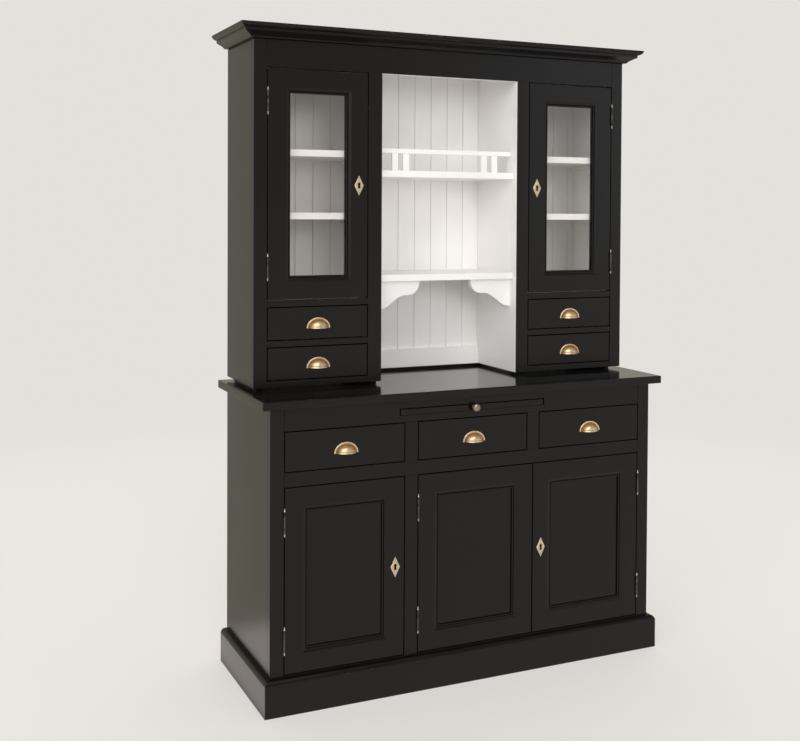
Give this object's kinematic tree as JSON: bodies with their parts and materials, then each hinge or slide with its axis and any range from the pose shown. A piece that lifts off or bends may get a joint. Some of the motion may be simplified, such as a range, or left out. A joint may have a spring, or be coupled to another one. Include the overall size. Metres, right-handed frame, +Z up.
{
  "type": "kitchen dresser",
  "caption": "Free-standing kitchen dresser: cupboard base with drawers and a pull-out board, and a hutch with glazed doors, small drawers and an open niche.",
  "frame": {"origin": "on the floor, in the middle of the dresser's width and of the worktop's depth", "axes": "+Z up, -Y towards the person who stands in front of it, +X to that person's right"},
  "size_m": [1.49, 0.5, 2.1],
  "materials": {
    "black_lacquer": "satin black lacquer",
    "white_lacquer": "satin white lacquer",
    "pine": "clear-lacquered softwood",
    "aged_brass": "aged, softly polished",
    "dark_steel": "dark plated",
    "clear_glass": "clear float glass"
  },
  "bodies": {
    "case": {"plinth": "black_lacquer", "base_side_left": "black_lacquer", "base_side_right": "black_lacquer", "base_floor": "white_lacquer", "base_back": "white_lacquer", "base_partition": "white_lacquer", "base_shelf_left": "white_lacquer", "base_shelf_right": "white_lacquer", "drawer_deck": "pine", "base_face_frame": "black_lacquer", "worktop": "black_lacquer", "hutch_side_left": "black_lacquer", "hutch_side_right": "black_lacquer", "hutch_face_frame": "black_lacquer", "hutch_back": "white_lacquer", "hutch_partition_left": "white_lacquer", "hutch_partition_right": "white_lacquer", "niche_shelf_upper": "white_lacquer", "niche_shelf_lower": "white_lacquer", "cornice": "black_lacquer"},
    "base_door_left": {"base_door_left_frame": "black_lacquer", "base_door_left_panel": "black_lacquer", "base_door_left_hinge_lower": "dark_steel", "base_door_left_hinge_upper": "dark_steel", "base_door_left_key_plate": "aged_brass"},
    "base_door_middle": {"base_door_middle_frame": "black_lacquer", "base_door_middle_panel": "black_lacquer", "base_door_middle_hinge_lower": "dark_steel", "base_door_middle_hinge_upper": "dark_steel"},
    "base_door_right": {"base_door_right_frame": "black_lacquer", "base_door_right_panel": "black_lacquer", "base_door_right_hinge_lower": "dark_steel", "base_door_right_hinge_upper": "dark_steel", "base_door_right_key_plate": "aged_brass"},
    "hutch_door_left": {"hutch_door_left_frame": "black_lacquer", "hutch_door_left_glass": "clear_glass", "hutch_door_left_hinge_lower": "dark_steel", "hutch_door_left_hinge_upper": "dark_steel", "hutch_door_left_key_plate": "aged_brass"},
    "hutch_door_right": {"hutch_door_right_frame": "black_lacquer", "hutch_door_right_glass": "clear_glass", "hutch_door_right_hinge_lower": "dark_steel", "hutch_door_right_hinge_upper": "dark_steel", "hutch_door_right_key_plate": "aged_brass"},
    "base_drawer_left": {"base_drawer_left": "black_lacquer", "base_pull_left": "aged_brass"},
    "base_drawer_middle": {"base_drawer_middle": "black_lacquer", "base_pull_middle": "aged_brass"},
    "base_drawer_right": {"base_drawer_right": "black_lacquer", "base_pull_right": "aged_brass"},
    "hutch_drawer_left_lower": {"hutch_drawer_left_lower": "black_lacquer", "hutch_pull_left_lower": "aged_brass"},
    "hutch_drawer_left_upper": {"hutch_drawer_left_upper": "black_lacquer", "hutch_pull_left_upper": "aged_brass"},
    "hutch_drawer_right_lower": {"hutch_drawer_right_lower": "black_lacquer", "hutch_pull_right_lower": "aged_brass"},
    "hutch_drawer_right_upper": {"hutch_drawer_right_upper": "black_lacquer", "hutch_pull_right_upper": "aged_brass"},
    "pull_out_board": {"pull_board": "black_lacquer", "pull_board_knob": "aged_brass"}
  },
  "joints": [
    {"name": "base_door_left_swing", "type": "hinge", "parent": "case", "child": "base_door_left", "pos_m": [-0.64475, -0.2235, 0.39975], "axis": [0, 0, -1], "range_deg": [0, 110]},
    {"name": "base_door_middle_swing", "type": "hinge", "parent": "case", "child": "base_door_middle", "pos_m": [-0.19942, -0.2235, 0.39975], "axis": [0, 0, -1], "range_deg": [0, 110]},
    {"name": "base_door_right_swing", "type": "hinge", "parent": "case", "child": "base_door_right", "pos_m": [0.64475, -0.2235, 0.39975], "axis": [0, 0, 1], "range_deg": [0, 110]},
    {"name": "hutch_door_left_swing", "type": "hinge", "parent": "case", "child": "hutch_door_left", "pos_m": [-0.64475, -0.0505, 1.603], "axis": [0, 0, -1], "range_deg": [0, 110]},
    {"name": "hutch_door_right_swing", "type": "hinge", "parent": "case", "child": "hutch_door_right", "pos_m": [0.64475, -0.0505, 1.603], "axis": [0, 0, 1], "range_deg": [0, 110]},
    {"name": "base_drawer_left_slide", "type": "slide", "parent": "case", "child": "base_drawer_left", "axis": [0, -1, 0], "range_m": [0, 0.3]},
    {"name": "base_drawer_middle_slide", "type": "slide", "parent": "case", "child": "base_drawer_middle", "axis": [0, -1, 0], "range_m": [0, 0.3]},
    {"name": "base_drawer_right_slide", "type": "slide", "parent": "case", "child": "base_drawer_right", "axis": [0, -1, 0], "range_m": [0, 0.3]},
    {"name": "hutch_drawer_left_lower_slide", "type": "slide", "parent": "case", "child": "hutch_drawer_left_lower", "axis": [0, -1, 0], "range_m": [0, 0.17]},
    {"name": "hutch_drawer_left_upper_slide", "type": "slide", "parent": "case", "child": "hutch_drawer_left_upper", "axis": [0, -1, 0], "range_m": [0, 0.17]},
    {"name": "hutch_drawer_right_lower_slide", "type": "slide", "parent": "case", "child": "hutch_drawer_right_lower", "axis": [0, -1, 0], "range_m": [0, 0.17]},
    {"name": "hutch_drawer_right_upper_slide", "type": "slide", "parent": "case", "child": "hutch_drawer_right_upper", "axis": [0, -1, 0], "range_m": [0, 0.17]},
    {"name": "pull_out_board_slide", "type": "slide", "parent": "case", "child": "pull_out_board", "axis": [0, -1, 0], "range_m": [0, 0.3]}
  ]
}
